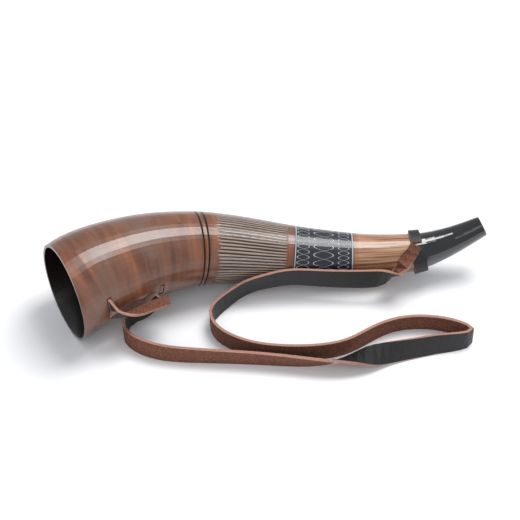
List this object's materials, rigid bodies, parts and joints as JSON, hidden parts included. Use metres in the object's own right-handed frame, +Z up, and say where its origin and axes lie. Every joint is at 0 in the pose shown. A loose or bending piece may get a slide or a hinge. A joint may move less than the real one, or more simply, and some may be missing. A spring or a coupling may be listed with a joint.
{
  "type": "ox horn",
  "caption": "Curved hollow ox blowing horn with grooved and banded body, black mouthpiece tip and a leather carrying strap.",
  "frame": {"origin": "under the middle of the rigid pieces, on the surface the horn lies on", "axes": "+X towards the mouthpiece, -X towards the bell, +Z up"},
  "size_m": [0.407, 0.1535, 0.0927],
  "materials": {
    "horn_body": "polished natural horn",
    "mouthpiece": "polished black horn",
    "strap_collar": "dark grained leather",
    "strap_run": "dark grained leather",
    "strap_tail": "dark grained leather"
  },
  "bodies": {
    "horn": {"horn_body": "horn_body", "mouthpiece": "mouthpiece", "strap_run": "strap_run", "strap_tail": "strap_tail"},
    "collar": {"strap_collar": "strap_collar"}
  },
  "joints": [
    {"name": "collar_turn", "type": "hinge", "parent": "horn", "child": "collar", "pos_m": [0.13951, 0.03902, 0.03047], "axis": [0.9782, 0.0953, 0.1846], "range_deg": [-5, 5], "deforming": ["strap_run"]}
  ]
}
